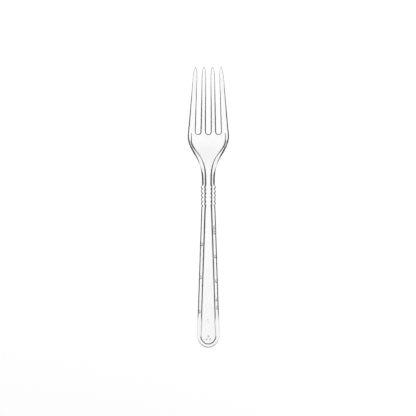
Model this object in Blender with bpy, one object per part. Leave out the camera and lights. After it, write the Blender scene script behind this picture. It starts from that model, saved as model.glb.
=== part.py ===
"""A clear plastic table fork, moulded in one piece. Metres, +Z up, lying on its back.

The fork lies along Y with its tines at +Y. The origin is on the table under the middle of its box.
The body is a thin web with a stiffening rib below its edge. The rib runs down both sides of the bowl
and the handle and round the heel. The rib's flat land under the heel and the underside of the two
inner tines carry the fork on the table.
"""

import bmesh
import bpy
import numpy as np
from mathutils import Matrix

# Lengths along the fork, from the tine tips back to the heel.
LENGTH = 0.180
TINE_LENGTH = 0.0427  # tine tip to the bottom of a slot
TIP_NOSE = 0.0060  # the length over which a tine narrows to its tip
SHOULDER_SETBACK = 0.0013  # bottom of the slots back to the widest point
SHOULDER_ROUND = 0.0040  # widest point forward to the straight side of the outer tine
HEAD_LENGTH = 0.0277  # widest point back to the narrowest
NECK_LENGTH = 0.0039  # narrowest point back to the grip
LOBE_COUNT = 5
LOBE_PITCH = 0.0026
HEEL_LENGTH = 0.0083  # length of the round heel

# Widths across the fork.
TIP_WIDTH = 0.0187  # outside the outer tines, at their tips
TINE_BASE_WIDTH = 0.0259  # outside the outer tines, where their sides become straight
HEAD_WIDTH = 0.0266
NECK_WIDTH = 0.0083
GRIP_WIDTH = 0.0082  # across the notches
FOOT_WIDTH = 0.00896  # where the handle starts below the grip
END_WIDTH = 0.0145
FLARE_PLACE = 0.55  # where the bowl's side is steepest, as a share of the head's length
FLARE_WIDTH = 0.49  # how far the bowl has widened there, as a share of the whole widening
FLARE_SLOPE = 0.66  # how steeply it widens there
LOBE_DEPTH = 0.0007  # how far a lobe of the grip stands out past its notches

# Slots between the four tines.
SLOT_WIDTH = 0.0030
SLOT_TIP_WIDTH = 0.0029
SLOT_PITCH = 0.0066
SLOT_TIP_PITCH = 0.0055

# Thicknesses and the section of the rib.
WEB = 0.0013  # the floor of the handle
BOWL_WEB = 0.0016
TINE_ROOT = 0.0020
TINE_TIP = 0.0012
RIB_HEIGHT = 0.0017  # how far the rib stands below the web
BOWL_RIB_HEIGHT = 0.0012
SWELL_RIB_HEIGHT = 0.0020  # where the bowl is about to be widest
TINE_RIB_HEIGHT = 0.0002  # what is left of the rib along the outer tines
HEEL_RIB_WIDTH = 0.0029
NECK_RIB_WIDTH = 0.0031
RIB_SHARE = 0.50  # width of the rib along an outer tine, as a share of the tine
EDGE_SHARE = 0.55  # height of the outer edge, as a share of the web's thickness
SLOT_EDGE_SHARE = 0.25  # height of the edge round a slot, as the same kind of share
EDGE_ROUND = 0.0001  # radius of the upper edge
LOBE_SCOOP = 0.0003  # how far the rib is thinner under a lobe
LOBE_SHARE = 0.32  # how far the flanks are narrower under a lobe, as a share

# Widths of the rib's sloping inner side, seen from above.
HEEL_RIB_FLANK = 0.0008
LEVEL_RIB_FLANK = 0.0002  # along the flat stretch behind the round heel
RIB_FLANK = 0.00085
FOOT_RIB_FLANK = 0.0012  # where the handle starts below the grip
GRIP_RIB_FLANK = 0.0015
SPREAD_RIB_FLANK = 0.0006  # a little above the pinch
SWELL_RIB_FLANK = 0.0021

# Widths of the rounded slope inside the outer edge and inside the slots, seen from above.
LEVEL_FLANK = 0.00028  # round the heel and along its flat stretch
HANDLE_FLANK = 0.00085
GRIP_FLANK = 0.0011
NECK_FLANK = 0.0015
PINCH_FLANK = 0.0002  # where the bowl leaves the neck
SPREAD_FLANK = 0.0005
BOWL_FLANK = 0.0009
APRON_FLANK = 0.0006
TINE_FLANK = 0.0008
SLOT_FLANK = 0.00105
ROOT_FLANK = 0.0010  # round the root of a slot
TIP_FLANK = 0.0004

# Where those widths change: distances from the heel's end, from the neck and from the slots.
TURN_PLACE = 0.0062  # end of the wide slope round the heel
LEVEL_PLACE = 0.0080  # start of the narrow slope behind it
LEVEL_END_PLACE = 0.0155
RIB_FULL_PLACE = 0.0205
EDGE_FULL_PLACE = 0.0245
STEP = 0.0008  # length of the changes at either end of the grip
PINCH_PLACE = 0.0088  # from the neck
SPREAD_PLACE = 0.0127  # from the neck
SPREAD_LENGTH = 0.0045
SWELL_SETBACK = 0.0065  # bottom of the slots back to where the rib is highest in the bowl
RIB_END_REACH = 0.0030  # bottom of the slots forward to where the rib runs out

# The side view.
CROWN_HEIGHT = 0.0155  # top of the fork's arch, at the grip
TIP_HEIGHT = 0.0098  # top of the tine tips
TIP_RISE = 0.30  # how steeply the tines rise at their tips
REST_LENGTH = 0.0190  # the stretch of the handle that lies flat
BOWL_REACH = 0.0085  # bottom of the slots forward to the lowest point
BOWL_CUP = 0.0014  # how far the bowl's edges rise above its middle

# Wear on the underside: scoops nicked out of the rib, by their distance from the heel's end.
LEFT_NICKS = (0.0667, 0.0455, 0.0230)
RIGHT_NICKS = (0.0778, 0.0760, 0.0742, 0.0590, 0.0430, 0.0308, 0.0256)
NICK_INSET = 0.0009  # from the outer edge to the middle of a nick
NICK_LENGTH = 0.0019
NICK_WIDTH = 0.0018
NICK_DEPTH = 0.00085

# Marks under the heel: the ring left by an ejector and three pips.
RING_STATION = 0.0168  # from the heel's end
RING_RADIUS = 0.00115
RING_LINE = 0.00045
PIP_STATION = 0.0059
PIP_CIRCLE = 0.0013
PIP_RADIUS = 0.0004
PIP_COUNT = 3
RING_HEIGHT = 0.00018
PIP_HEIGHT = 0.0004
MARK_ROOT = 0.0004  # how deep a mark starts inside the web

# How finely the surface is divided.
HEEL_ROWS = 9
HANDLE_ROWS = 12
ROWS_PER_LOBE = 6
NECK_ROWS = 3
BOWL_ROWS = 12
SIDE_ROWS = 3
SINK_ROWS = 3
TINE_ROWS = 8
NOSE_ROWS = 6
FLOOR_COLUMNS = 3
MARK_SIDES = 24
APRON_LENGTH = 0.0030  # bottom of the slots back to the last row that spans the whole bowl
BAND_MARGIN = 1.14  # width of the rows' edge band, as a share of the rib's width
WELD = 0.000001

# Stations along Y that follow from the lengths.
TIP = LENGTH / 2
HEEL = -LENGTH / 2
HEEL_START = HEEL + HEEL_LENGTH
SLOT_BOTTOM = TIP - TINE_LENGTH
SLOT_CENTRE = SLOT_BOTTOM + SLOT_WIDTH / 2
APRON = SLOT_BOTTOM - APRON_LENGTH
SHOULDER = SLOT_BOTTOM - SHOULDER_SETBACK
NECK = SHOULDER - HEAD_LENGTH
FLARE = NECK + FLARE_PLACE * HEAD_LENGTH
GRIP_TOP = NECK - NECK_LENGTH
GRIP_FOOT = GRIP_TOP - LOBE_COUNT * LOBE_PITCH
CROWN = (GRIP_TOP + GRIP_FOOT) / 2
BOWL_BOTTOM = SLOT_BOTTOM + BOWL_REACH
TURN = HEEL + TURN_PLACE
LEVEL_START = HEEL + LEVEL_PLACE
LEVEL_END = HEEL + LEVEL_END_PLACE
RIB_FULL = HEEL + RIB_FULL_PLACE
EDGE_FULL = HEEL + EDGE_FULL_PLACE
PINCH = NECK + PINCH_PLACE
SPREAD = NECK + SPREAD_PLACE
SWELL = SLOT_BOTTOM - SWELL_SETBACK
RIB_END = SLOT_BOTTOM + RIB_END_REACH
NOSE_START = TIP - TIP_NOSE
SLOTS = (-1, 0, 1)


def ease(t):
    """From 0 to 1 with level ends."""
    t = np.clip(t, 0.0, 1.0)
    return t * t * (3.0 - 2.0 * t)


def quarter(t):
    """From 0 to 1 along a quarter circle, upright at 0 and level at 1."""
    return np.sqrt(1.0 - (1.0 - np.clip(t, 0.0, 1.0)) ** 2)


def swell(t):
    """From 0 to 1 along a parabola, steep at 0 and level at 1."""
    return 1.0 - (1.0 - np.clip(t, 0.0, 1.0)) ** 2


def curve(y, knots):
    """A smooth curve through knots of (station, value, slope)."""
    y = np.asarray(y, dtype=float)
    value = np.full(y.shape, knots[0][1])
    for (y0, v0, m0), (y1, v1, m1) in zip(knots, knots[1:]):
        span = y1 - y0
        t = np.clip((y - y0) / span, 0.0, 1.0)
        bend = span * t * (1.0 - t) * ((1.0 - t) * m0 - t * m1)
        value = np.where(y >= y0, v0 + (v1 - v0) * ease(t) + bend, value)
    return value


def half_width(y):
    """Half the width across the outer edges, without the grip's lobes."""
    taper = (END_WIDTH - FOOT_WIDTH) / 2 / (HEEL_START - GRIP_FOOT)
    straight = SHOULDER + SHOULDER_ROUND
    side = (TIP_WIDTH - TINE_BASE_WIDTH) / 2 / (TIP - straight)
    flare = NECK_WIDTH / 2 + FLARE_WIDTH * (HEAD_WIDTH - NECK_WIDTH) / 2
    return curve(y, (
        (HEEL_START, END_WIDTH / 2, taper),
        (GRIP_FOOT, FOOT_WIDTH / 2, taper),
        (GRIP_TOP, GRIP_WIDTH / 2, 0.0),
        (NECK, NECK_WIDTH / 2, 0.0),
        (FLARE, flare, FLARE_SLOPE),
        (SHOULDER, HEAD_WIDTH / 2, 0.0),
        (straight, TINE_BASE_WIDTH / 2, side),
        (TIP, TIP_WIDTH / 2, side),
    ))


def lobe(y):
    """0 in the notches of the grip and away from it, 1 on the crest of a lobe."""
    phase = (np.asarray(y, dtype=float) - GRIP_FOOT) / LOBE_PITCH
    inside = (phase > 0.0) & (phase < LOBE_COUNT)
    return np.where(inside, np.abs(np.sin(np.pi * phase)), 0.0)


def beads(y):
    """1 between the lobes and away from the grip, and less under a lobe."""
    return 1.0 - LOBE_SHARE * lobe(y)


def grip_edge(y):
    """Half the width out to the edge itself: straight notches and round lobes in the grip."""
    inside = (y > GRIP_FOOT) & (y < GRIP_TOP)
    return np.where(inside, GRIP_WIDTH / 2, half_width(y)) + LOBE_DEPTH * lobe(y)


def slot_pitch(y):
    share = (y - SLOT_CENTRE) / (TIP - SLOT_CENTRE)
    return SLOT_PITCH + (SLOT_TIP_PITCH - SLOT_PITCH) * share


def slot_half(y):
    share = (y - SLOT_CENTRE) / (TIP - SLOT_CENTRE)
    return (SLOT_WIDTH + (SLOT_TIP_WIDTH - SLOT_WIDTH) * share) / 2


def nose(y):
    """1 along a tine, running down to 0 at its tip."""
    return quarter((TIP - y) / TIP_NOSE)


def nose_floor(y):
    """The same, but never quite 0, so that it can divide."""
    return np.maximum(nose(y), WELD)


def outer_tine(y):
    """Width of an outer tine, its nose left out."""
    return half_width(y) - slot_pitch(y) - slot_half(y)


def rib_width(y):
    """Width of the rib from the outer edge to the foot of its inner side."""
    apron = RIB_SHARE * outer_tine(APRON)
    body = curve(y, (
        (HEEL_START, HEEL_RIB_WIDTH, 0.0),
        (GRIP_TOP, NECK_RIB_WIDTH, 0.0),
        (NECK, NECK_RIB_WIDTH, 0.0),
        (APRON, apron, 0.0),
    ))
    return np.where(y > APRON, RIB_SHARE * outer_tine(y) * nose(y), body)


def narrowing(y):
    """How much narrower an outer tine is than at its root."""
    share = outer_tine(y) / outer_tine(APRON)
    return np.where(y > APRON, np.minimum(share, 1.0) * nose_floor(y), 1.0)


def rib_height(y):
    height = curve(y, (
        (GRIP_TOP, RIB_HEIGHT, 0.0),
        (FLARE, BOWL_RIB_HEIGHT, 0.0),
        (SWELL, SWELL_RIB_HEIGHT, 0.0),
        (APRON, BOWL_RIB_HEIGHT, 0.0),
        (RIB_END, TINE_RIB_HEIGHT, 0.0),
        (TIP, 0.0, 0.0),
    ))
    return height - LOBE_SCOOP * lobe(y)


def rib_flank(y):
    """Width of the rib's sloping inner side."""
    return beads(y) * narrowing(y) * curve(y, (
        (TURN, HEEL_RIB_FLANK, 0.0),
        (LEVEL_START, LEVEL_RIB_FLANK, 0.0),
        (LEVEL_END, LEVEL_RIB_FLANK, 0.0),
        (RIB_FULL, RIB_FLANK, 0.0),
        (GRIP_FOOT - STEP, FOOT_RIB_FLANK, 0.0),
        (GRIP_FOOT, GRIP_RIB_FLANK, 0.0),
        (NECK, GRIP_RIB_FLANK, 0.0),
        (SPREAD, SPREAD_RIB_FLANK, 0.0),
        (SWELL, SWELL_RIB_FLANK, 0.0),
        (APRON, RIB_FLANK, 0.0),
    ))


def edge_flank(y):
    """Width of the slope inside the outer edge."""
    return beads(y) * narrowing(y) * curve(y, (
        (LEVEL_END, LEVEL_FLANK, 0.0),
        (EDGE_FULL, HANDLE_FLANK, 0.0),
        (GRIP_FOOT - STEP, HANDLE_FLANK, 0.0),
        (GRIP_FOOT, GRIP_FLANK, 0.0),
        (GRIP_TOP, GRIP_FLANK, 0.0),
        (GRIP_TOP + STEP, NECK_FLANK, 0.0),
        (NECK, NECK_FLANK, 0.0),
        (PINCH, PINCH_FLANK, 0.0),
        (SPREAD, SPREAD_FLANK, 0.0),
        (SPREAD + SPREAD_LENGTH, BOWL_FLANK, 0.0),
        (SWELL, BOWL_FLANK, 0.0),
        (APRON, APRON_FLANK, 0.0),
        (BOWL_BOTTOM, TINE_FLANK, 0.0),
        (TIP, TIP_FLANK, 0.0),
    ))


def slot_flank(y):
    """Width of the slope inside a slot's edge."""
    return nose_floor(y) * curve(y, (
        (SLOT_BOTTOM, ROOT_FLANK, 0.0),
        (SLOT_CENTRE, SLOT_FLANK, 0.0),
        (BOWL_BOTTOM, SLOT_FLANK, 0.0),
        (TIP, TIP_FLANK, 0.0),
    ))


def web(y):
    return curve(y, (
        (GRIP_TOP, WEB, 0.0),
        (FLARE, BOWL_WEB, 0.0),
        (SLOT_BOTTOM, TINE_ROOT, 0.0),
        (BOWL_BOTTOM, TINE_ROOT, 0.0),
        (TIP, TINE_TIP, 0.0),
    ))


def arch(y):
    """Height of the upper surface along the middle of the fork."""
    return curve(y, (
        (HEEL, WEB + RIB_HEIGHT, 0.0),
        (HEEL + REST_LENGTH, WEB + RIB_HEIGHT, 0.0),
        (CROWN, CROWN_HEIGHT, 0.0),
        (BOWL_BOTTOM, TINE_ROOT, 0.0),
        (TIP, TIP_HEIGHT, TIP_RISE),
    ))


def cup(x, y):
    """How far the bowl rises above its level middle."""
    level = SLOT_PITCH / 2
    out = np.maximum(np.abs(x) - level, 0.0) / (HEAD_WIDTH / 2 - level)
    return BOWL_CUP * out ** 2 * ease((y - NECK) / (APRON - NECK))


def upper(x, y, rim, slot):
    """Height of the upper side, from the distances to the outer edge and to a slot."""
    edge = np.minimum(rim / narrowing(y), slot / nose_floor(y))
    fall = EDGE_ROUND * (1.0 - quarter(np.minimum(edge, TIP - y) / EDGE_ROUND))
    return arch(y) + cup(x, y) - fall


def lower(x, y, rim, slot):
    """Height of the underside, from the distances to the outer edge and to a slot."""
    full = web(y) + rib_height(y) * ease((rib_width(y) - rim) / rib_flank(y))
    outer_edge = EDGE_SHARE * web(y)
    slot_edge = SLOT_EDGE_SHARE * web(y)
    side = outer_edge + (full - outer_edge) * swell(rim / edge_flank(y))
    grown = swell(slot / slot_flank(y)) * swell((TIP - y) / TIP_FLANK)
    return arch(y) + cup(x, y) - slot_edge - (side - slot_edge) * grown


def band_offsets(y, under):
    """Distances from the outer edge at which a row crosses the rim, one row of them per station."""
    y = np.atleast_1d(y)[:, None]
    wide = rib_width(y)
    if under:
        out = edge_flank(y) * np.array([0.0, 0.3, 0.65, 1.0])
        back = wide - rib_flank(y) * np.array([1.0, 0.7, 0.3, 0.0])
        return np.hstack((out, back, BAND_MARGIN * wide))
    out = EDGE_ROUND * narrowing(y) * np.array([0.0, 0.3, 1.0])
    return np.hstack((out, BAND_MARGIN * wide / 2, BAND_MARGIN * wide))


def slot_offsets(reach, under):
    """Distances from a slot's edge at which a row crosses the surface beside it."""
    size, shares = (SLOT_FLANK, (0.0, 0.2, 0.5, 1.0)) if under else (EDGE_ROUND, (0.0, 0.3, 1.0))
    steps = np.array([size * share for share in shares] + [LENGTH])
    parts = np.arange(len(steps)) / (len(steps) - 1.0)
    return np.minimum(steps[None, :], parts[None, :] * reach[:, None])


def body_rows():
    """Outer edge, and how far a row moves in x and y for each step away from it, heel to bowl."""
    angle = np.linspace(np.pi / 2, 0.0, HEEL_ROWS)
    heel_x = END_WIDTH / 2 * np.cos(angle)
    heel_y = HEEL_START - HEEL_LENGTH * np.sin(angle)
    heel_nx = -HEEL_LENGTH * np.cos(angle)
    heel_ny = END_WIDTH / 2 * np.sin(angle)
    stations = np.concatenate((
        np.linspace(HEEL_START, GRIP_FOOT, HANDLE_ROWS + 1)[1:],
        np.linspace(GRIP_FOOT, GRIP_TOP, LOBE_COUNT * ROWS_PER_LOBE + 1)[1:],
        np.linspace(GRIP_TOP, NECK, NECK_ROWS + 1)[1:],
        np.linspace(NECK, APRON, BOWL_ROWS + 1)[1:],
    ))
    step = WELD
    slope = (half_width(stations + step) - half_width(stations - step)) / (2 * step)
    x = np.concatenate((heel_x, grip_edge(stations)))
    y = np.concatenate((heel_y, stations))
    nx = np.concatenate((heel_nx, -np.ones_like(stations)))
    ny = np.concatenate((heel_ny, slope))
    size = np.hypot(nx, ny)
    nx, ny = nx / size, ny / size
    turned = 1.0 - ease((y - FLARE) / (APRON - FLARE))
    dy = ny * turned
    dx = -np.sqrt(1.0 - dy ** 2)
    stretch = 1.0 + (1.0 / (dx * nx + dy * ny) - 1.0) * turned
    return x, y, dx * stretch, dy * stretch


def lane_stations():
    """Stations of the rows that cross the tines, from the root of the slots to the tips."""
    turn = np.linspace(0.0, np.pi / 2, NOSE_ROWS + 1)
    return np.concatenate((
        np.linspace(SLOT_CENTRE, BOWL_BOTTOM, SINK_ROWS + 1)[:-1],
        np.linspace(BOWL_BOTTOM, NOSE_START, TINE_ROWS + 1)[:-1],
        NOSE_START + TIP_NOSE * np.sin(turn),
    ))


def lane_edges(y, lane):
    """Left edge, right edge and division line of one of the four tines, counted from the left."""
    sides = [-half_width(y)]
    for slot in SLOTS:
        sides.append(slot * slot_pitch(y) - slot_half(y))
        sides.append(slot * slot_pitch(y) + slot_half(y))
    sides.append(half_width(y))
    centre = (sides[2 * lane] + sides[2 * lane + 1]) / 2
    half = (sides[2 * lane + 1] - sides[2 * lane]) / 2 * nose(y)
    left, right = centre - half, centre + half
    division = centre
    if lane == 0:
        division = left + BAND_MARGIN * rib_width(y)
    if lane == len(SLOTS):
        division = right - BAND_MARGIN * rib_width(y)
    return left, right, division


def slot_block(index, under):
    """The surface round one slot: rows leave its edge for the middle of the tines and the bowl."""
    straight = lane_stations()
    left_lane, right_lane = lane_edges(straight, index), lane_edges(straight, index + 1)
    turn = np.linspace(np.pi, 2 * np.pi, 2 * SIDE_ROWS + FLOOR_COLUMNS + 1)[1:-1]
    centre = SLOTS[index] * SLOT_PITCH
    root_x = centre + SLOT_WIDTH / 2 * np.cos(turn)
    root_y = SLOT_CENTRE + SLOT_WIDTH / 2 * np.sin(turn)
    side = np.linspace(SLOT_CENTRE, APRON, SIDE_ROWS + 1)[1:]
    left_side = lane_edges(side, index)[2]
    right_side = lane_edges(side, index + 1)[2]
    floor = np.linspace(left_side[-1], right_side[-1], FLOOR_COLUMNS + 1)[1:-1]
    edge_x = np.concatenate((left_lane[1][::-1], root_x, right_lane[0]))
    edge_y = np.concatenate((straight[::-1], root_y, straight))
    far_x = np.concatenate((left_lane[2][::-1], left_side, floor, right_side[::-1], right_lane[2]))
    flat = np.full(FLOOR_COLUMNS - 1, APRON)
    far_y = np.concatenate((straight[::-1], side, flat, side[::-1], straight))
    reach = np.hypot(far_x - edge_x, far_y - edge_y)
    away = slot_offsets(reach, under)
    share = away / np.maximum(reach, WELD)[:, None]
    x = edge_x[:, None] + (far_x - edge_x)[:, None] * share
    y = edge_y[:, None] + (far_y - edge_y)[:, None] * share
    radial = np.hypot(x - centre, y - SLOT_CENTRE) - SLOT_WIDTH / 2
    slot = np.where(y < SLOT_CENTRE, radial, away)
    return x, y, np.full(x.shape, LENGTH), slot


def rim_block(side, under):
    """The rim of an outer tine, from its outer edge to the division line."""
    low = np.linspace(SLOT_CENTRE, APRON, SIDE_ROWS + 1)[1:]
    stations = np.concatenate((low[::-1], lane_stations()))
    outer = lane_edges(stations, len(SLOTS))[1]
    rim = band_offsets(stations, under)
    x = side * (outer[:, None] - rim)
    y = np.repeat(stations[:, None], rim.shape[1], axis=1)
    return x, y, rim, np.full(x.shape, LENGTH)


def body_block(under):
    """Handle, neck and bowl: rows that run from one outer edge to the other."""
    edge_x, edge_y, dx, dy = body_rows()
    rim = band_offsets(edge_y, under)
    band_x = edge_x[:, None] + dx[:, None] * rim
    band_y = edge_y[:, None] + dy[:, None] * rim
    marks = [lane_edges(np.array([APRON]), lane)[2][0] for lane in range(len(SLOTS) + 1)]
    floor = []
    for left, right in zip(marks, marks[1:]):
        floor.extend(np.linspace(left, right, FLOOR_COLUMNS + 1)[:-1])
    floor = np.array(floor[1:]) / marks[-1]
    inner_x = band_x[:, -1:] * floor[None, :]
    inner_y = np.repeat(band_y[:, -1:], len(floor), axis=1)
    inner_rim = np.repeat(rim[:, -1:], len(floor), axis=1)
    x = np.hstack((-band_x, inner_x, band_x[:, ::-1]))
    y = np.hstack((band_y, inner_y, band_y[:, ::-1]))
    distance = np.hstack((rim, inner_rim, rim[:, ::-1]))
    return x, y, distance, np.full(x.shape, LENGTH)


def all_blocks(under):
    slots = [slot_block(index, under) for index in range(len(SLOTS))]
    return slots + [rim_block(-1, under), rim_block(1, under), body_block(under)]


def add_sheet(mesh, block, height):
    """Adds one grid of vertices and its faces. Returns the vertices, row by row."""
    x, y, rim, slot = block
    z = height(x, y, rim, slot)
    grid = [[mesh.verts.new(point) for point in zip(*row)] for row in zip(x, y, z)]
    for near, far in zip(grid, grid[1:]):
        for a, b, c, d in zip(near, near[1:], far[1:], far):
            mesh.faces.new((a, b, c, d))
    return grid


def add_wall(mesh, above, below):
    """Joins an edge of the upper sheet to the same edge of the lower one."""
    for a, b, c, d in zip(above, above[1:], below[1:], below):
        mesh.faces.new((a, b, c, d))


def fork_mesh():
    mesh = bmesh.new()
    above = [add_sheet(mesh, block, upper) for block in all_blocks(False)]
    below = [add_sheet(mesh, block, lower) for block in all_blocks(True)]
    for top, bottom in zip(above, below):
        add_wall(mesh, [row[0] for row in top], [row[0] for row in bottom])
    add_wall(mesh, [row[-1] for row in above[-1]], [row[-1] for row in below[-1]])
    bmesh.ops.remove_doubles(mesh, verts=mesh.verts, dist=WELD)
    bmesh.ops.dissolve_degenerate(mesh, edges=mesh.edges, dist=WELD)
    bmesh.ops.recalc_face_normals(mesh, faces=mesh.faces)
    return mesh


def level_slope(y):
    """Angle of the upper surface to the table, along the fork."""
    return float(np.arctan((arch(y + WELD) - arch(y - WELD)) / (2 * WELD)))


def nick_cutter(side, station):
    """A round scoop that dips into the rib from below."""
    mesh = bmesh.new()
    bmesh.ops.create_icosphere(mesh, subdivisions=2, radius=1.0)
    y = HEEL + station
    x = side * (float(half_width(y)) - NICK_INSET)
    size = Matrix.Diagonal((NICK_WIDTH / 2, NICK_LENGTH / 2, NICK_DEPTH, 1.0))
    turn = Matrix.Rotation(level_slope(y), 4, "X")
    under = float(arch(y) - web(y) - rib_height(y))
    place = Matrix.Translation((x, y, under))
    bmesh.ops.transform(mesh, matrix=place @ turn @ size, verts=mesh.verts)
    return mesh


def mark_ring():
    """The ring left by an ejector: a square bead spun round the ring's centre."""
    mesh = bmesh.new()
    y = HEEL + RING_STATION
    under = float(arch(y) - web(y))
    inner, outer = RING_RADIUS - RING_LINE / 2, RING_RADIUS + RING_LINE / 2
    low, high = under - RING_HEIGHT, under + MARK_ROOT
    corners = ((inner, low), (outer, low), (outer, high), (inner, high))
    points = [mesh.verts.new((x, y, z)) for x, z in corners]
    edges = [mesh.edges.new((a, b)) for a, b in zip(points, points[1:] + points[:1])]
    bmesh.ops.spin(
        mesh, geom=points + edges, cent=(0.0, y, 0.0), axis=(0.0, 0.0, 1.0),
        angle=2 * np.pi, steps=MARK_SIDES, use_merge=True,
    )
    bmesh.ops.recalc_face_normals(mesh, faces=mesh.faces)
    return mesh


def pip(index):
    """One of the small round pips that stand in a triangle near the heel's end."""
    mesh = bmesh.new()
    turn = np.pi / 2 + index * 2 * np.pi / PIP_COUNT
    x = PIP_CIRCLE * np.cos(turn)
    y = HEEL + PIP_STATION + PIP_CIRCLE * np.sin(turn)
    under = float(arch(y) - web(y))
    place = Matrix.Translation((x, y, under + (MARK_ROOT - PIP_HEIGHT) / 2))
    bmesh.ops.create_cone(
        mesh, cap_ends=True, segments=MARK_SIDES // 2, radius1=PIP_RADIUS, radius2=PIP_RADIUS,
        depth=MARK_ROOT + PIP_HEIGHT, matrix=place,
    )
    return mesh


def new_object(name, shape):
    data = bpy.data.meshes.new(name)
    shape.to_mesh(data)
    shape.free()
    thing = bpy.data.objects.new(name, data)
    bpy.context.scene.collection.objects.link(thing)
    return thing


def combine(body, tools, operation):
    """Joins tools to the body or cuts them from it, one by one, and takes the tools away."""
    for tool in tools:
        step = body.modifiers.new(tool.name, "BOOLEAN")
        step.operation = operation
        step.solver = "EXACT"
        step.object = tool
        graph = bpy.context.evaluated_depsgraph_get()
        result = bpy.data.meshes.new_from_object(body.evaluated_get(graph))
        body.modifiers.clear()
        body.data = result
        bpy.data.objects.remove(tool, do_unlink=True)


def clear_plastic():
    material = bpy.data.materials.new("clear_plastic")
    material.use_nodes = True
    shader = material.node_tree.nodes["Principled BSDF"]
    shader.inputs["Base Color"].default_value = (0.96, 0.97, 0.97, 1.0)
    shader.inputs["Roughness"].default_value = 0.06
    shader.inputs["Metallic"].default_value = 0.0
    shader.inputs["Transmission Weight"].default_value = 1.0
    shader.inputs["IOR"].default_value = 1.59
    return material


for old in list(bpy.data.objects):
    bpy.data.objects.remove(old, do_unlink=True)

fork = new_object("fork", fork_mesh())
cutters = [nick_cutter(-1, station) for station in LEFT_NICKS]
cutters += [nick_cutter(1, station) for station in RIGHT_NICKS]
combine(fork, [new_object("nick", shape) for shape in cutters], "DIFFERENCE")
marks = [mark_ring()] + [pip(index) for index in range(PIP_COUNT)]
combine(fork, [new_object("mark", shape) for shape in marks], "UNION")

fork.name = "fork"
fork.data.name = "fork"
fork.data.materials.clear()
fork.data.materials.append(clear_plastic())
fork.data.set_sharp_from_angle(angle=np.radians(35.0))
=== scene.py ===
"""A clear plastic table fork on a white table, seen from straight above."""

import math

import bmesh
import bpy
import numpy as np
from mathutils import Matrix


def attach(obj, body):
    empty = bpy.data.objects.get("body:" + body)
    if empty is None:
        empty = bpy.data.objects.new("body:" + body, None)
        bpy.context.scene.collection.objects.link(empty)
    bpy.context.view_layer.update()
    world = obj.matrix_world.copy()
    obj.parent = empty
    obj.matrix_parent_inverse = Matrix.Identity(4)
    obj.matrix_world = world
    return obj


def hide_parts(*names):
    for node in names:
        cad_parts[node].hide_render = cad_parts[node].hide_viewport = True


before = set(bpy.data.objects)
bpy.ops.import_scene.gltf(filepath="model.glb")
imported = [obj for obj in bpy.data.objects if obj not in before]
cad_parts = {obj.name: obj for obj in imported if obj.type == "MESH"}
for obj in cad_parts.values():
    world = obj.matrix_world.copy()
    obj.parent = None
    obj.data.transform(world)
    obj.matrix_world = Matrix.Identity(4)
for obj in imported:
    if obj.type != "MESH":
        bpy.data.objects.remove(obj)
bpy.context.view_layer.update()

# The fork is clear polystyrene, injection moulded in one piece. A thin web with a rib below its edge
# runs from the round heel through a beaded grip into the bowl, and divides into four tapered tines.
# It is drawn here once more with fine rows, and takes the place of the plain solid.
#
# Places along the fork, in metres from its middle. The tips point to +Y.
TIP = 0.0900
TINE_LENGTH = 0.0427  # from the root of a slot to the tips
TIP_NOSE = 0.0060  # the last stretch of a tine, where it rounds off
HEEL = -0.0900
HEEL_LENGTH = 0.0083  # the half ellipse that ends the handle
HEEL_START = HEEL + HEEL_LENGTH
SLOT_BOTTOM = TIP - TINE_LENGTH
SLOT_WIDTH = 0.0030
SLOT_TIP_WIDTH = 0.0029
SLOT_PITCH = 0.0066  # from slot to slot at their roots
SLOT_TIP_PITCH = 0.0055  # and at the tips, where the tines have drawn together
SLOT_CENTRE = SLOT_BOTTOM + SLOT_WIDTH / 2
APRON = SLOT_BOTTOM - 0.0030  # where the rows of the body meet the rows of the slots
SHOULDER = SLOT_BOTTOM - 0.0013  # where the fork is widest
TINE_BASE = SHOULDER + 0.0040  # where the outer edges become straight
FLARE_LENGTH = 0.0277
FLARE_SHARE = 0.55
NECK = SHOULDER - FLARE_LENGTH
FLARE = NECK + FLARE_SHARE * FLARE_LENGTH  # where the edges spread fastest
PINCH = NECK + 0.0088  # where the outer flank is narrowest
SPREAD = NECK + 0.0127
SPREAD_LENGTH = 0.0045
SWELL = APRON - 0.0035  # where the rib's inner flank is widest
STEP = 0.0008  # length over which the flanks change at either end of the grip
TURN = HEEL + 0.0062
LEVEL_START = HEEL + 0.0080  # the flanks are narrow between these two, and the lines pale
LEVEL_END = HEEL + 0.0155
RIB_FULL = HEEL + 0.0205
EDGE_FULL = HEEL + 0.0245
RIB_END = SLOT_BOTTOM + 0.0030
LOBE_COUNT = 5
LOBE_PITCH = 0.0026
LOBE_DEPTH = 0.0007  # how far a lobe of the grip stands out sideways
LOBE_SCOOP = 0.0003  # how much lower the rib is under a lobe
LOBE_SHARE = 0.32  # how much narrower the flanks are under a lobe
GRIP_TOP = NECK - 0.0039
GRIP_FOOT = GRIP_TOP - LOBE_COUNT * LOBE_PITCH
CROWN = (GRIP_TOP + GRIP_FOOT) / 2  # top of the arch
BOWL_BOTTOM = SLOT_BOTTOM + 0.0085
NOSE_START = TIP - TIP_NOSE

# Half the width at these places.
HALF_TIP = 0.00935
HALF_TINE_BASE = 0.01295
HALF_HEAD = 0.0133
HALF_NECK = 0.00415
HALF_GRIP = 0.0041
HALF_FOOT = 0.00448
HALF_END = 0.00725
FLARE_SLOPE = 0.66
FLARE_RISE = 0.49  # share of the spread that is done at the flare

# The web's thickness, and how far the rib stands below it.
WEB = 0.0013
BOWL_WEB = 0.0016
TINE_ROOT = 0.0020
TINE_TIP = 0.0012
RIB_HEIGHT = 0.0017
BOWL_RIB_HEIGHT = 0.0012
SWELL_RIB_HEIGHT = 0.0020
TINE_RIB_HEIGHT = 0.0002

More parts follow.
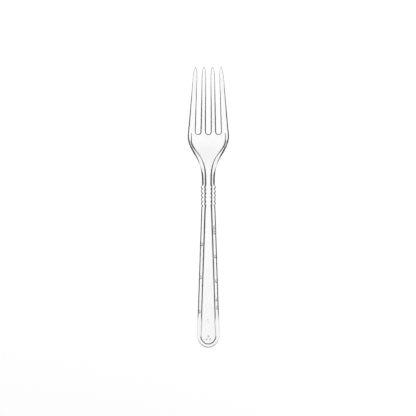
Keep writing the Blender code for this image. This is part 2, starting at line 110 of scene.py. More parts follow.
# The rib's width from the outer edge inwards.
HEEL_RIB_WIDTH = 0.0026
HANDLE_RIB_WIDTH = 0.0029
NECK_RIB_WIDTH = 0.0031
RIB_SHARE = 0.50  # along an outer tine, as a share of the tine

# Widths of the sloping flanks, which show as dark lines. First the rib's inner side.
HEEL_RIB_FLANK = 0.0008
LEVEL_RIB_FLANK = 0.0002
RIB_FLANK = 0.00085
FOOT_RIB_FLANK = 0.0012
GRIP_RIB_FLANK = 0.0015
SPREAD_RIB_FLANK = 0.0006
SWELL_RIB_FLANK = 0.0021
# The outer edge.
HEEL_FLANK = 0.00045
LEVEL_FLANK = 0.00028
HANDLE_FLANK = 0.00085
GRIP_FLANK = 0.0011
NECK_FLANK = 0.0015
PINCH_FLANK = 0.0002
SPREAD_FLANK = 0.0005
BOWL_FLANK = 0.0009
APRON_FLANK = 0.0006
TINE_FLANK = 0.0008
TIP_FLANK = 0.0004
# The slots.
SLOT_FLANK = 0.00105
ROOT_FLANK = 0.0010
# The upright edge left outside the flanks, as a share of the web, and the round of the upper edge.
EDGE_SHARE = 0.55
SLOT_EDGE_SHARE = 0.25
EDGE_ROUND = 0.0001

# Heights of the upper side, seen from the side.
CROWN_HEIGHT = 0.0155
TIP_HEIGHT = 0.0098
TIP_RISE = 0.30  # slope of the tines at their tips
REST_LENGTH = 0.0190  # the heel lies flat over this length
BOWL_CUP = 0.0014  # rise of the bowl's sides above its middle

# Marks on the underside, and nicks worn into the rim, given by their distance from the heel.
RING_STATION = HEEL + 0.0168
RING_RADIUS = 0.00115
RING_LINE = 0.00045
RING_HEIGHT = 0.00018
PIP_COUNT = 3
PIP_STATION = HEEL + 0.0059
PIP_CIRCLE = 0.0013
PIP_RADIUS = 0.00055
PIP_HEIGHT = 0.0005
MARK_STEEP = 1.6  # a mark rises to its full height over 1 / 1.6 of its half width
LEFT_NICKS = (0.0667, 0.0455, 0.0230)
RIGHT_NICKS = (0.0778, 0.0760, 0.0742, 0.0590, 0.0430, 0.0308, 0.0256)
NICK_INSET = 0.0009
NICK_LENGTH = 0.0019
NICK_WIDTH = 0.0018
NICK_DEPTH = 0.00085

# How many rows and columns each stretch of the surface has.
HEEL_ROWS = 72
HANDLE_ROWS = 88
NICK_ROWS = 16
RING_ROWS = 30
LOBE_ROWS = 12
NOTCH_ROWS = 8
BOWL_ROWS = 50
ROOT_ROWS = 16
TINE_ROWS = 40
NOSE_ROWS = 20
SIDE_ROWS = 6
FLOOR_COLUMNS = 18
FLANK_COLUMNS = 8
SLOT_FLANK_COLUMNS = 10
EDGE_COLUMNS = 4
REST_COLUMNS = 4
NICK_REACH = 0.6  # fine rows reach this share of a nick's length to either side
RING_REACH = 1.3  # and this share of the ring's radius
BAND_MARGIN = 1.14  # the rim's columns reach this far past the rib
NEAR_SHARE = 0.6  # a slot's fine columns take at most this share of the way to the next line
FAR = 0.18  # stands for no edge nearby
TINY = 1e-6


def ease(t):
    """From 0 to 1 with level ends: three squares less two cubes of t."""
    t = np.clip(t, 0.0, 1.0)
    return t * t * (3.0 - 2.0 * t)


def quarter(t):
    """From 0 to 1 along a quarter circle, upright at 0 and level at 1."""
    return np.sqrt(1.0 - (1.0 - np.clip(t, 0.0, 1.0)) ** 2)


def swell(t):
    """From 0 to 1 along a parabola, steep at 0 and level at 1."""
    return 1.0 - (1.0 - np.clip(t, 0.0, 1.0)) ** 2


def curve(y, knots):
    """A cubic through each pair of knots of (station, value, slope), flat outside them."""
    y = np.asarray(y, dtype=float)
    value = np.full(y.shape, knots[0][1])
    for (y0, v0, m0), (y1, v1, m1) in zip(knots, knots[1:]):
        span = y1 - y0
        t = np.clip((y - y0) / span, 0.0, 1.0)
        bend = span * t * (1.0 - t) * ((1.0 - t) * m0 - t * m1)
        value = np.where(y >= y0, v0 + (v1 - v0) * ease(t) + bend, value)
    return value


def half_width(y):
    """Half the width across the outer edges at a station, without the grip's lobes."""
    taper = (HALF_END - HALF_FOOT) / (HEEL_START - GRIP_FOOT)
    side = (HALF_TIP - HALF_TINE_BASE) / (TIP - TINE_BASE)
    flare = HALF_NECK + FLARE_RISE * (HALF_HEAD - HALF_NECK)
    return curve(y, (
        (HEEL_START, HALF_END, taper),
        (GRIP_FOOT, HALF_FOOT, taper),
        (GRIP_TOP, HALF_GRIP, 0.0),
        (NECK, HALF_NECK, 0.0),
        (FLARE, flare, FLARE_SLOPE),
        (SHOULDER, HALF_HEAD, 0.0),
        (TINE_BASE, HALF_TINE_BASE, side),
        (TIP, HALF_TIP, side),
    ))


def lobe(y):
    """The size of a sine of half a turn for each lobe of the grip, and 0 elsewhere."""
    phase = (np.asarray(y, dtype=float) - GRIP_FOOT) / LOBE_PITCH
    inside = (phase >= 0.0) & (phase <= LOBE_COUNT)
    return np.where(inside, np.abs(np.sin(np.pi * phase)), 0.0)


def grip_edge(y):
    """Half the width out to the edge itself: straight notches and round lobes in the grip."""
    inside = (y > GRIP_FOOT) & (y < GRIP_TOP)
    return np.where(inside, HALF_GRIP, half_width(y)) + LOBE_DEPTH * lobe(y)


def slot_pitch(y):
    """Distance from slot to slot, on a straight line from the roots to the tips."""
    return SLOT_PITCH + (SLOT_TIP_PITCH - SLOT_PITCH) * (y - SLOT_CENTRE) / (TIP - SLOT_CENTRE)


def slot_half(y):
    """Half the width of a slot, on a straight line from the roots to the tips."""
    share = (y - SLOT_CENTRE) / (TIP - SLOT_CENTRE)
    return (SLOT_WIDTH + (SLOT_TIP_WIDTH - SLOT_WIDTH) * share) / 2


def nose(y):
    """1 along a tine, running down a quarter circle to almost 0 at its tip."""
    return np.maximum(quarter((TIP - y) / TIP_NOSE), TINY)


def outer_tine(y):
    """Width of an outer tine, from the outer edge to its slot."""
    return half_width(y) - slot_pitch(y) - slot_half(y)


def rib_width(y):
    """Width from the outer edge to the foot of the rib's inner side; a share of each outer tine."""
    apron = RIB_SHARE * outer_tine(APRON)
    body = curve(y, (
        (LEVEL_START, HEEL_RIB_WIDTH, 0.0),
        (RIB_FULL, HANDLE_RIB_WIDTH, 0.0),
        (GRIP_TOP, NECK_RIB_WIDTH, 0.0),
        (NECK, NECK_RIB_WIDTH, 0.0),
        (APRON, apron, 0.0),
    ))
    return np.where(y > APRON, RIB_SHARE * outer_tine(y) * nose(y), body)


def narrowing(y):
    """1 up to the apron, then the outer tine's width as a share of its width there."""
    share = outer_tine(y) / outer_tine(APRON)
    return np.where(y > APRON, np.minimum(share, 1.0) * nose(y), 1.0)


def rib_height(y):
    """How far the rib stands below the web: less under a lobe, and running out along the tines."""
    height = curve(y, (
        (GRIP_TOP, RIB_HEIGHT, 0.0),
        (FLARE, BOWL_RIB_HEIGHT, 0.0),
        (SWELL, SWELL_RIB_HEIGHT, 0.0),
        (APRON, BOWL_RIB_HEIGHT, 0.0),
        (RIB_END, TINE_RIB_HEIGHT, 0.0),
        (TIP, 0.0, 0.0),
    ))
    return height - LOBE_SCOOP * lobe(y)


def beads(y):
    """1 between the lobes and away from the grip, and less under a lobe, where the flanks narrow."""
    return 1.0 - LOBE_SHARE * lobe(y)


def rib_flank(y):
    """Width of the rib's inner flank: beaded in the grip, and most where the bowl is widest."""
    return beads(y) * narrowing(y) * curve(y, (
        (TURN, HEEL_RIB_FLANK, 0.0),
        (LEVEL_START, LEVEL_RIB_FLANK, 0.0),
        (LEVEL_END, LEVEL_RIB_FLANK, 0.0),
        (RIB_FULL, RIB_FLANK, 0.0),
        (GRIP_FOOT - STEP, FOOT_RIB_FLANK, 0.0),
        (GRIP_FOOT, GRIP_RIB_FLANK, 0.0),
        (NECK, GRIP_RIB_FLANK, 0.0),
        (SPREAD, SPREAD_RIB_FLANK, 0.0),
        (SWELL, SWELL_RIB_FLANK, 0.0),
        (APRON, RIB_FLANK, 0.0),
    ))


def edge_flank(y):
    """Width of the steep flank inside the outer edge, pinched where the bowl leaves the neck."""
    return beads(y) * narrowing(y) * curve(y, (
        (HEEL, HEEL_FLANK, 0.0),
        (TURN, LEVEL_FLANK, 0.0),
        (LEVEL_END, LEVEL_FLANK, 0.0),
        (EDGE_FULL, HANDLE_FLANK, 0.0),
        (GRIP_FOOT - STEP, HANDLE_FLANK, 0.0),
        (GRIP_FOOT, GRIP_FLANK, 0.0),
        (GRIP_TOP, GRIP_FLANK, 0.0),
        (GRIP_TOP + STEP, NECK_FLANK, 0.0),
        (NECK, NECK_FLANK, 0.0),
        (PINCH, PINCH_FLANK, 0.0),
        (SPREAD, SPREAD_FLANK, 0.0),
        (SPREAD + SPREAD_LENGTH, BOWL_FLANK, 0.0),
        (SWELL, BOWL_FLANK, 0.0),
        (APRON, APRON_FLANK, 0.0),
        (BOWL_BOTTOM, TINE_FLANK, 0.0),
        (TIP, TIP_FLANK, 0.0),
    ))


def slot_flank(y):
    """Width of the flank inside a slot's edge, most at its root and least at the tips."""
    return nose(y) * curve(y, (
        (SLOT_BOTTOM, ROOT_FLANK, 0.0),
        (SLOT_CENTRE, SLOT_FLANK, 0.0),
        (BOWL_BOTTOM, SLOT_FLANK, 0.0),
        (TIP, TIP_FLANK, 0.0),
    ))


def web(y):
    """Thickness away from the rib: thin in the handle, most at the roots of the tines."""
    return curve(y, (
        (GRIP_TOP, WEB, 0.0),
        (FLARE, BOWL_WEB, 0.0),
        (SLOT_BOTTOM, TINE_ROOT, 0.0),
        (BOWL_BOTTOM, TINE_ROOT, 0.0),
        (TIP, TINE_TIP, 0.0),
    ))


def arch(y):
    """Height of the upper surface along the middle: flat heel, crown at the grip, low bowl."""
    return curve(y, (
        (HEEL + REST_LENGTH, WEB + RIB_HEIGHT, 0.0),
        (CROWN, CROWN_HEIGHT, 0.0),
        (BOWL_BOTTOM, TINE_ROOT, 0.0),
        (TIP, TIP_HEIGHT, TIP_RISE),
    ))


def cup(x, y):
    """The bowl rises outside its level middle with the square of the distance from it."""
    level = SLOT_PITCH / 2
    out = np.maximum(np.abs(x) - level, 0.0) / (HALF_HEAD - level)
    return BOWL_CUP * out ** 2 * ease((y - NECK) / (APRON - NECK))


def nicks(x, y):
    """Scoops nicked out of the rib from below, each round and deepest in its middle."""
    depth = np.zeros_like(x)
    for side, place in [(-1, n) for n in LEFT_NICKS] + [(1, n) for n in RIGHT_NICKS]:
        middle = side * (float(half_width(HEEL + place)) - NICK_INSET)
        across = (x - middle) / (NICK_WIDTH / 2)
        along = (y - HEEL - place) / (NICK_LENGTH / 2)
        depth += NICK_DEPTH * np.sqrt(np.maximum(1.0 - across ** 2 - along ** 2, 0.0))
    return depth


def raised_marks(x, y):
    """The ejector's ring and the three pips: rounded ridges that stand out of the underside."""
    ring = np.abs(np.hypot(x, y - RING_STATION) - RING_RADIUS) / (RING_LINE / 2)
    height = RING_HEIGHT * ease(MARK_STEEP * (1.0 - ring))
    for index in range(PIP_COUNT):
        turn = math.pi / 2 + index * 2 * math.pi / PIP_COUNT
        px, py = PIP_CIRCLE * math.cos(turn), PIP_STATION + PIP_CIRCLE * math.sin(turn)
        pip = np.hypot(x - px, y - py) / PIP_RADIUS
        height = np.maximum(height, PIP_HEIGHT * ease(MARK_STEEP * (1.0 - pip)))
    return height


def upper(x, y, rim, slot):
    """The arch and the cup, less the round of the upper edge."""
    edge = np.minimum(rim / narrowing(y), slot / nose(y))
    fall = EDGE_ROUND * (1.0 - quarter(np.minimum(edge, TIP - y) / EDGE_ROUND))
    return arch(y) + cup(x, y) - fall


def lower(x, y, rim, slot):
    """The upper surface less the thickness, which swells from the edge to the rib and the web."""
    full = web(y) + rib_height(y) * ease((rib_width(y) - rim) / rib_flank(y))
    outer_edge, slot_edge = EDGE_SHARE * web(y), SLOT_EDGE_SHARE * web(y)
    side = outer_edge + (full - outer_edge) * swell(rim / edge_flank(y))
    thick = slot_edge + (
        (side - slot_edge) * swell(slot / slot_flank(y)) * swell((TIP - y) / TIP_FLANK))
    thick = np.maximum(thick - nicks(x, y), np.minimum(thick, outer_edge))
    return arch(y) + cup(x, y) - thick - raised_marks(x, y)


def band_offsets(y, under):
    """Distances from the outer edge at which the rows cross the rim, finest where it turns."""
    wide = rib_width(y)[:, None]
    narrow = narrowing(y)[:, None]
    if under:
        out = edge_flank(y)[:, None] * np.linspace(0.0, 1.0, FLANK_COLUMNS + 1)
        flat = np.linspace(0.0, 1.0, 4)[1:-1]
        back = wide - rib_flank(y)[:, None] * np.linspace(1.0, 0.0, FLANK_COLUMNS + 1)
        middle = out[:, -1:] + (back[:, :1] - out[:, -1:]) * flat
        return np.hstack((out, middle, back, BAND_MARGIN * wide))
    turn = np.linspace(0.0, np.pi / 2, EDGE_COLUMNS + 1)
    out = EDGE_ROUND * narrow * (1.0 - np.cos(turn))
    share = np.linspace(0.0, 1.0, REST_COLUMNS + 1)[1:]
    rest = out[:, -1:] + (BAND_MARGIN * wide - out[:, -1:]) * share
    return np.hstack((out, rest))


def slot_offsets(reach, under):
    """Distances from a slot's edge at which the rows cross the surface beside it."""
    size, count = (SLOT_FLANK, SLOT_FLANK_COLUMNS) if under else (EDGE_ROUND, EDGE_COLUMNS)
    steps = size * (1.0 - np.cos(np.linspace(0.0, np.pi / 2, count + 1)))
    near = np.minimum(steps[None, :], reach[:, None] * np.linspace(0.0, NEAR_SHARE, count + 1))
    share = np.linspace(0.0, 1.0, REST_COLUMNS + 1)[1:]
    rest = near[:, -1:] + (reach[:, None] - near[:, -1:]) * share
    return np.hstack((near, rest))


def body_rows():
    """The outer edge, and how far a row moves in x and y for each step inwards, heel to bowl."""
    angle = np.linspace(np.pi / 2, 0.0, HEEL_ROWS + 1)
    near = np.linspace(-NICK_LENGTH, NICK_LENGTH, NICK_ROWS + 1) * NICK_REACH
    handle = [np.linspace(HEEL_START, GRIP_FOOT, HANDLE_ROWS + 1)[1:]]
    handle += [HEEL + place + near for place in LEFT_NICKS + RIGHT_NICKS]
    across = np.linspace(-RING_RADIUS, RING_RADIUS, RING_ROWS + 1) * RING_REACH
    handle += [RING_STATION + across]
    stations = np.concatenate((
        np.unique(np.round(np.concatenate(handle), 5)),
        np.linspace(GRIP_FOOT, GRIP_TOP, LOBE_COUNT * LOBE_ROWS + 1)[1:],
        np.linspace(GRIP_TOP, NECK, NOTCH_ROWS + 1)[1:],
        np.linspace(NECK, APRON, BOWL_ROWS + 1)[1:],
    ))
    slope = (half_width(stations + TINY) - half_width(stations - TINY)) / (2 * TINY)
    slope = slope * ease((stations - HEEL_START) / HEEL_LENGTH)
    x = np.concatenate((HALF_END * np.cos(angle), grip_edge(stations)))
    y = np.concatenate((HEEL_START - HEEL_LENGTH * np.sin(angle), stations))
    nx = np.concatenate((-HEEL_LENGTH * np.cos(angle), -np.ones_like(stations)))
    ny = np.concatenate((HALF_END * np.sin(angle), slope))
    size = np.hypot(nx, ny)
    nx, ny = nx / size, ny / size
    turned = 1.0 - ease((y - FLARE) / (APRON - FLARE))
    dy = ny * turned
    dx = -np.sqrt(1.0 - dy ** 2)
    stretch = 1.0 + (1.0 / (dx * nx + dy * ny) - 1.0) * turned
    return x, y, dx * stretch, dy * stretch


def lane_stations():
    """Stations of the rows that cross the tines, from the root of the slots to the tips."""
    turn = np.linspace(0.0, np.pi / 2, NOSE_ROWS + 1)
    return np.concatenate((
        np.linspace(SLOT_CENTRE, BOWL_BOTTOM, ROOT_ROWS + 1)[:-1],
        np.linspace(BOWL_BOTTOM, NOSE_START, TINE_ROWS + 1)[:-1],
        NOSE_START + TIP_NOSE * np.sin(turn),
    ))


def lane_edges(y, lane):
    """Left edge, right edge and division line of one of the four tines, counted from the left."""
    sides = [-half_width(y)]
    for slot in (-1, 0, 1):
        sides.append(slot * slot_pitch(y) - slot_half(y))
        sides.append(slot * slot_pitch(y) + slot_half(y))
    sides.append(half_width(y))
    centre = (sides[2 * lane] + sides[2 * lane + 1]) / 2
    half = (sides[2 * lane + 1] - sides[2 * lane]) / 2 * np.where(y < TIP - TINY, nose(y), 0.0)
    left, right = centre - half, centre + half
    division = centre
    if lane == 0:
        division = left + BAND_MARGIN * rib_width(y) * np.where(y < TIP - TINY, 1.0, 0.0)
    if lane == 3:
        division = right - BAND_MARGIN * rib_width(y) * np.where(y < TIP - TINY, 1.0, 0.0)
    return left, right, division


def slot_block(index, under):
    """Rows that leave a slot's edge all round it, for the middle of the tines and the bowl."""
    straight = lane_stations()
    left_lane, right_lane = lane_edges(straight, index), lane_edges(straight, index + 1)
    turn = np.linspace(np.pi, 2 * np.pi, 2 * SIDE_ROWS + FLOOR_COLUMNS + 1)[1:-1]
    centre = (index - 1) * SLOT_PITCH
    root_x = centre + SLOT_WIDTH / 2 * np.cos(turn)
    root_y = SLOT_CENTRE + SLOT_WIDTH / 2 * np.sin(turn)
    side = np.linspace(SLOT_CENTRE, APRON, SIDE_ROWS + 1)[1:]
    left_side = lane_edges(side, index)[2]
    right_side = lane_edges(side, index + 1)[2]
    floor = np.linspace(left_side[-1], right_side[-1], FLOOR_COLUMNS + 1)[1:-1]
    edge_x = np.concatenate((left_lane[1][::-1], root_x, right_lane[0]))
    edge_y = np.concatenate((straight[::-1], root_y, straight))
    far_x = np.concatenate((left_lane[2][::-1], left_side, floor, right_side[::-1], right_lane[2]))
    flat = np.full(FLOOR_COLUMNS - 1, APRON)
    far_y = np.concatenate((straight[::-1], side, flat, side[::-1], straight))
    reach = np.hypot(far_x - edge_x, far_y - edge_y)
    away = slot_offsets(reach, under)
    share = away / np.maximum(reach, TINY)[:, None]
    x = edge_x[:, None] + (far_x - edge_x)[:, None] * share
    y = edge_y[:, None] + (far_y - edge_y)[:, None] * share
    radial = np.hypot(x - centre, y - SLOT_CENTRE) - SLOT_WIDTH / 2
    return x, y, np.full(x.shape, FAR), np.where(y < SLOT_CENTRE, radial, away)


def rim_block(side, under):
    """The rim of an outer tine, from its outer edge to the division line."""
    low = np.linspace(SLOT_CENTRE, APRON, SIDE_ROWS + 1)[1:]
    stations = np.concatenate((low[::-1], lane_stations()))
    outer = lane_edges(stations, 3)[1]
    rim = band_offsets(stations, under) * np.where(stations < TIP - TINY, 1.0, 0.0)[:, None]
    x = side * (outer[:, None] - rim)
    y = np.repeat(stations[:, None], rim.shape[1], axis=1)
    return x, y, rim, np.full(x.shape, FAR)


def body_block(under):
    """Handle, neck and bowl: rows that run from one outer edge to the other."""
    edge_x, edge_y, dx, dy = body_rows()
    rim = band_offsets(edge_y, under)
    band_x = edge_x[:, None] + dx[:, None] * rim
    band_y = edge_y[:, None] + dy[:, None] * rim
    marks = [lane_edges(np.array([APRON]), lane)[2][0] for lane in range(4)]
    steps = [np.linspace(a, b, FLOOR_COLUMNS + 1)[:-1] for a, b in zip(marks, marks[1:])]
    floor = np.concatenate(steps)[1:] / marks[-1]
    inner_x = band_x[:, -1:] * floor[None, :]
    inner_y = np.repeat(band_y[:, -1:], len(floor), axis=1)
    inner_rim = np.repeat(rim[:, -1:], len(floor), axis=1)
    x = np.hstack((-band_x, inner_x, band_x[:, ::-1]))
    y = np.hstack((band_y, inner_y, band_y[:, ::-1]))
    return x, y, np.hstack((rim, inner_rim, rim[:, ::-1])), np.full(x.shape, FAR)


def sheet(height, under):
    """All the grids of one side: their points, and the four corners of each face."""
    blocks = [slot_block(index, under) for index in range(3)]
    blocks += [rim_block(-1, under), rim_block(1, under), body_block(under)]
    points, faces, grids, start = [], [], [], 0
    for x, y, rim, slot in blocks:
        z = height(x, y, rim, slot)
        points.append(np.stack((x, y, z), axis=-1).reshape(-1, 3))
        grid = start + np.arange(x.size).reshape(x.shape)
        corners = (grid[:-1, :-1], grid[:-1, 1:], grid[1:, 1:], grid[1:, :-1])
        faces.append(np.stack(corners, axis=-1).reshape(-1, 4))
        grids.append(grid)
        start += x.size
    return np.concatenate(points), np.concatenate(faces), grids


def wall(above, below):
    """A strip of faces that joins a line of the upper side to the same line of the underside."""
    return np.stack((above[:-1], above[1:], below[1:], below[:-1]), axis=-1)


top_points, top_faces, top_grids = sheet(upper, False)
low_points, low_faces, low_grids = sheet(lower, True)
shift = len(top_points)
walls = [wall(a[:, 0], b[:, 0] + shift) for a, b in zip(top_grids, low_grids)]
walls.append(wall(top_grids[-1][:, -1], low_grids[-1][:, -1] + shift))
all_points = np.concatenate((top_points, low_points))
all_faces = np.concatenate([top_faces, low_faces + shift] + walls)

fork_mesh = bpy.data.meshes.new("moulded_fork")
fork_mesh.from_pydata(all_points.tolist(), [], all_faces.tolist())
shell = bmesh.new()
shell.from_mesh(fork_mesh)
bmesh.ops.remove_doubles(shell, verts=shell.verts, dist=2 * TINY)
bmesh.ops.dissolve_degenerate(shell, edges=shell.edges, dist=TINY)
bmesh.ops.recalc_face_normals(shell, faces=shell.faces)
shell.to_mesh(fork_mesh)
shell.free()
fork_mesh.shade_smooth()
moulded_fork = bpy.data.objects.new("moulded_fork", fork_mesh)
bpy.context.scene.collection.objects.link(moulded_fork)


def add_node(tree, kind, **values):
    """A node of this kind, with the values given for its sockets, where _ stands for a space."""
    node = tree.nodes.new("ShaderNode" + kind)
    for name, value in values.items():
        node.inputs[name.replace("_", " ")].default_value = value
    return node


def add_math(tree, operation, first, second, clamp=False):
    """A Math node on two sockets or numbers. Returns its output."""
    node = tree.nodes.new("ShaderNodeMath")
    node.operation = operation
    node.use_clamp = clamp
    for socket, value in zip(node.inputs, (first, second)):
        if isinstance(value, float):
            socket.default_value = value
        else:
            tree.links.new(value, socket)
    return node.outputs[0]


def add_streaks(tree, place, turn, stretch, scale):
    """Thin long streaks: a noise stretched along one direction, cut off near its peaks."""
    turned = add_node(tree, "Mapping", Rotation=(0.0, 0.0, turn), Scale=stretch)
    tree.links.new(place, turned.inputs["Vector"])
    noise = add_node(tree, "TexNoise", Scale=scale, Detail=1.0)
    tree.links.new(turned.outputs["Vector"], noise.inputs["Vector"])
    cut = add_node(tree, "MapRange", From_Min=0.66, From_Max=0.74)
    tree.links.new(noise.outputs["Fac"], cut.inputs["Value"])
    return cut.outputs["Result"]


# What the mould and the packet leave on the plastic: a slow ripple where it flowed and cooled, a
# little haze, and fine scratches in two directions from rubbing against other forks.
surface = bpy.data.node_groups.new("moulded_surface", "ShaderNodeTree")
surface.interface.new_socket("Place", in_out="INPUT", socket_type="NodeSocketVector")
surface.interface.new_socket("Roughness", in_out="OUTPUT", socket_type="NodeSocketFloat")
surface.interface.new_socket("Height", in_out="OUTPUT", socket_type="NodeSocketFloat")
place = surface.nodes.new("NodeGroupInput").outputs["Place"]
result = surface.nodes.new("NodeGroupOutput")
along = add_node(surface, "Mapping", Scale=(1.0, 0.3, 1.0))
surface.links.new(place, along.inputs["Vector"])
ripple = add_node(surface, "TexNoise", Scale=160.0, Detail=2.0)
surface.links.new(along.outputs["Vector"], ripple.inputs["Vector"])
haze = add_node(surface, "TexNoise", Scale=420.0, Detail=4.0)
surface.links.new(place, haze.inputs["Vector"])
scratches = add_math(
    surface, "MAXIMUM",
    add_streaks(surface, place, 0.35, (1.0, 0.03, 1.0), 5200.0),
    add_streaks(surface, place, -0.62, (1.0, 0.04, 1.0), 4300.0),
)
roughness = add_node(surface, "MapRange", To_Min=0.012, To_Max=0.034)
surface.links.new(haze.outputs["Fac"], roughness.inputs["Value"])
worn = add_math(surface, "MULTIPLY", scratches, 0.07)
surface.links.new(
    add_math(surface, "ADD", roughness.outputs["Result"], worn), result.inputs["Roughness"])
cut_in = add_math(surface, "MULTIPLY", scratches, 0.15)
surface.links.new(
    add_math(surface, "SUBTRACT", ripple.outputs["Fac"], cut_in), result.inputs["Height"])

clear_plastic = bpy.data.materials.new("clear_plastic")
clear_plastic.use_nodes = True
tree = clear_plastic.node_tree
body = tree.nodes["Principled BSDF"]
body.inputs["Base Color"].default_value = (1.0, 1.0, 1.0, 1.0)
body.inputs["Metallic"].default_value = 0.0
body.inputs["IOR"].default_value = 1.59
body.inputs["Transmission Weight"].default_value = 1.0
own_place = tree.nodes.new("ShaderNodeTexCoord")
marks = tree.nodes.new("ShaderNodeGroup")
marks.node_tree = surface
tree.links.new(own_place.outputs["Object"], marks.inputs["Place"])
tree.links.new(marks.outputs["Roughness"], body.inputs["Roughness"])
bump = add_node(tree, "Bump", Strength=0.5, Distance=0.00004)
tree.links.new(marks.outputs["Height"], bump.inputs["Height"])
tree.links.new(bump.outputs["Normal"], body.inputs["Normal"])

# Light on its way to the table, and off it again, passes straight through the thin plastic.
passing = add_node(tree, "BsdfTransparent", Color=(0.972, 0.972, 0.972, 1.0))
path = tree.nodes.new("ShaderNodeLightPath")
straight = add_math(
    tree, "MAXIMUM", path.outputs["Is Shadow Ray"], path.outputs["Is Diffuse Ray"])
mix = tree.nodes.new("ShaderNodeMixShader")
tree.links.new(straight, mix.inputs[0])
tree.links.new(body.outputs["BSDF"], mix.inputs[1])
tree.links.new(passing.outputs["BSDF"], mix.inputs[2])
tree.links.new(mix.outputs["Shader"], tree.nodes["Material Output"].inputs["Surface"])
fork_mesh.materials.append(clear_plastic)

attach(moulded_fork, "root")
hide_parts("fork")

# The table is a sheet of white card, far wider than the picture. The fork lies on it with a hair's
# breadth of air below, as the real one does. Card of this kind has a fine even grain.
table_mesh = bpy.data.meshes.new("table")
reach, level = 3.0, -0.00005
table_mesh.from_pydata(
    [(-reach, -reach, level), (reach, -reach, level), (reach, reach, level), (-reach, reach, level)],
    [], [(0, 1, 2, 3)],
)
table = bpy.data.objects.new("table", table_mesh)
bpy.context.scene.collection.objects.link(table)
white = bpy.data.materials.new("white_card")
white.use_nodes = True
tree = white.node_tree
card = tree.nodes["Principled BSDF"]
card.inputs["Specular IOR Level"].default_value = 0.0
own_place = tree.nodes.new("ShaderNodeTexCoord")
grain = add_node(tree, "TexNoise", Scale=900.0, Detail=3.0)
tree.links.new(own_place.outputs["Object"], grain.inputs["Vector"])
shade = tree.nodes.new("ShaderNodeMix")
shade.data_type = "RGBA"
shade.inputs["A"].default_value = (0.79, 0.79, 0.79, 1.0)
shade.inputs["B"].default_value = (0.81, 0.81, 0.81, 1.0)
tree.links.new(grain.outputs["Fac"], shade.inputs["Factor"])
tree.links.new(shade.outputs["Result"], card.inputs["Base Color"])
rough = add_node(tree, "MapRange", To_Min=0.85, To_Max=0.95)
tree.links.new(grain.outputs["Fac"], rough.inputs["Value"])
tree.links.new(rough.outputs["Result"], card.inputs["Roughness"])
bump = add_node(tree, "Bump", Strength=0.2, Distance=0.00005)
tree.links.new(grain.outputs["Fac"], bump.inputs["Height"])
tree.links.new(bump.outputs["Normal"], card.inputs["Normal"])

# What is seen of the card directly, mirrored or through the fork is lifted to white, and more so far
# out, where the lamps reach less. Where the plastic has turned the view back inside itself, the card
# shows a painted shade instead, a near-black glow that paints the dark lines along the flanks.
path = tree.nodes.new("ShaderNodeLightPath")
seen = add_math(tree, "MAXIMUM", path.outputs["Is Camera Ray"], path.outputs["Is Glossy Ray"])
seen = add_math(tree, "MAXIMUM", seen, path.outputs["Is Transmission Ray"])
far = tree.nodes.new("ShaderNodeVectorMath")
far.operation = "LENGTH"
tree.links.new(own_place.outputs["Object"], far.inputs[0])
lift = add_node(tree, "MapRange", From_Min=0.4, From_Max=1.9, To_Min=0.28, To_Max=0.95)
tree.links.new(far.outputs["Value"], lift.inputs["Value"])
glow = tree.nodes.new("ShaderNodeEmission")
tree.links.new(add_math(tree, "MULTIPLY", seen, lift.outputs["Result"]), glow.inputs["Strength"])
join = tree.nodes.new("ShaderNodeAddShader")
tree.links.new(card.outputs["BSDF"], join.inputs[0])
tree.links.new(glow.outputs["Emission"], join.inputs[1])
turned_back = add_math(tree, "GREATER_THAN", path.outputs["Glossy Depth"], 0.5)
painted_shade_mask = add_math(tree, "MULTIPLY", turned_back, path.outputs["Is Transmission Ray"])
# painted shade: the card glows near black for views the plastic turned back, which darkens the lines
painted_line_shade = add_node(tree, "Emission", Color=(0.05, 0.05, 0.05, 1.0))
choose = tree.nodes.new("ShaderNodeMixShader")
tree.links.new(painted_shade_mask, choose.inputs[0])
tree.links.new(join.outputs["Shader"], choose.inputs[1])
tree.links.new(painted_line_shade.outputs["Emission"], choose.inputs[2])
tree.links.new(choose.outputs["Shader"], tree.nodes["Material Output"].inputs["Surface"])
table_mesh.materials.append(white)


# Two square softboxes of the same size and power stand left and right of the fork. They light the
# card evenly, so that the shadow on it stays faint.
def softbox(name, place):
    """A square lamp turned to face the fork, and not seen in or through it."""
    data = bpy.data.lights.new(name, "AREA")
    data.shape = "SQUARE"
    data.size = 0.8
    data.energy = 14.0
    lamp = bpy.data.objects.new(name, data)
    x, y, z = place
    lamp.location = place
    lamp.rotation_euler = (math.atan2(math.hypot(x, y), z), 0.0, math.atan2(x, -y))
    lamp.visible_camera = False
    lamp.visible_transmission = False
    lamp.visible_glossy = False
    bpy.context.scene.collection.objects.link(lamp)


softbox("key_lamp", (-0.9, 0.5, 1.1))
softbox("fill_lamp", (0.9, 0.2, 1.1))

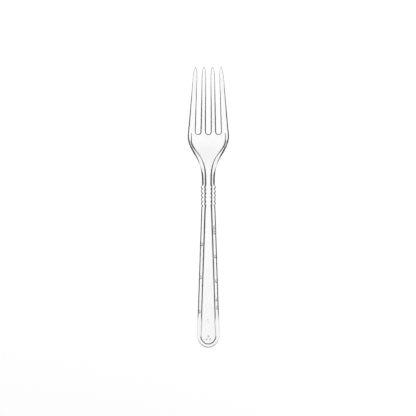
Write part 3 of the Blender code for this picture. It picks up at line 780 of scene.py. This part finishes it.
# The room is dim. In the fork's polish it shows a white ceiling, which ends behind the neck, where
# the bowl's slope mirrors the dark wall, and two grey screens that shade the outer tines.
world = bpy.data.worlds.new("room")
bpy.context.scene.world = world
world.use_nodes = True
tree = world.node_tree
room_light = tree.nodes["Background"]
room_light.inputs["Color"].default_value = (1.0, 1.0, 1.0, 1.0)
toward = tree.nodes.new("ShaderNodeTexCoord")
parts = tree.nodes.new("ShaderNodeSeparateXYZ")
tree.links.new(toward.outputs["Generated"], parts.inputs["Vector"])
ceiling = add_node(tree, "MapRange", From_Min=0.72, From_Max=0.64)
tree.links.new(parts.outputs["Y"], ceiling.inputs["Value"])
folded = tree.nodes.new("ShaderNodeCombineXYZ")
tree.links.new(add_math(tree, "ABSOLUTE", parts.outputs["X"], 0.0), folded.inputs["X"])
tree.links.new(parts.outputs["Y"], folded.inputs["Y"])
apart = tree.nodes.new("ShaderNodeVectorMath")
apart.operation = "DISTANCE"
apart.inputs[1].default_value = (0.34, -0.50, 0.0)
tree.links.new(folded.outputs["Vector"], apart.inputs[0])
screen = add_node(tree, "MapRange", From_Min=0.08, From_Max=0.20)
tree.links.new(apart.outputs["Value"], screen.inputs["Value"])
lit = add_math(tree, "MULTIPLY", ceiling.outputs["Result"], screen.outputs["Result"])
path = tree.nodes.new("ShaderNodeLightPath")
mirrored = add_math(
    tree, "SUBTRACT", path.outputs["Is Glossy Ray"], path.outputs["Is Transmission Ray"], True)
shown = add_math(
    tree, "MAXIMUM", add_math(tree, "MULTIPLY", lit, mirrored), path.outputs["Is Camera Ray"])
wall_light = 0.05
strength = add_math(tree, "MAXIMUM", shown, wall_light)
tree.links.new(strength, room_light.inputs["Strength"])

# The camera hangs high above the fork and looks straight down through a long lens.
camera_data = bpy.data.cameras.new("camera")
camera_height = 1.30
frame_width = 0.2671  # seen across the picture
frame_height = 0.006  # at this height above the table, midway up the fork
camera_data.sensor_width = 36.0
camera_data.lens = 36.0 * (camera_height - frame_height) / frame_width
camera_data.clip_end = 20.0
camera = bpy.data.objects.new("camera", camera_data)
camera.location = (-0.00022, -0.00019, camera_height)
bpy.context.scene.collection.objects.link(camera)
bpy.context.scene.camera = camera
bpy.context.scene.view_settings.view_transform = "Standard"
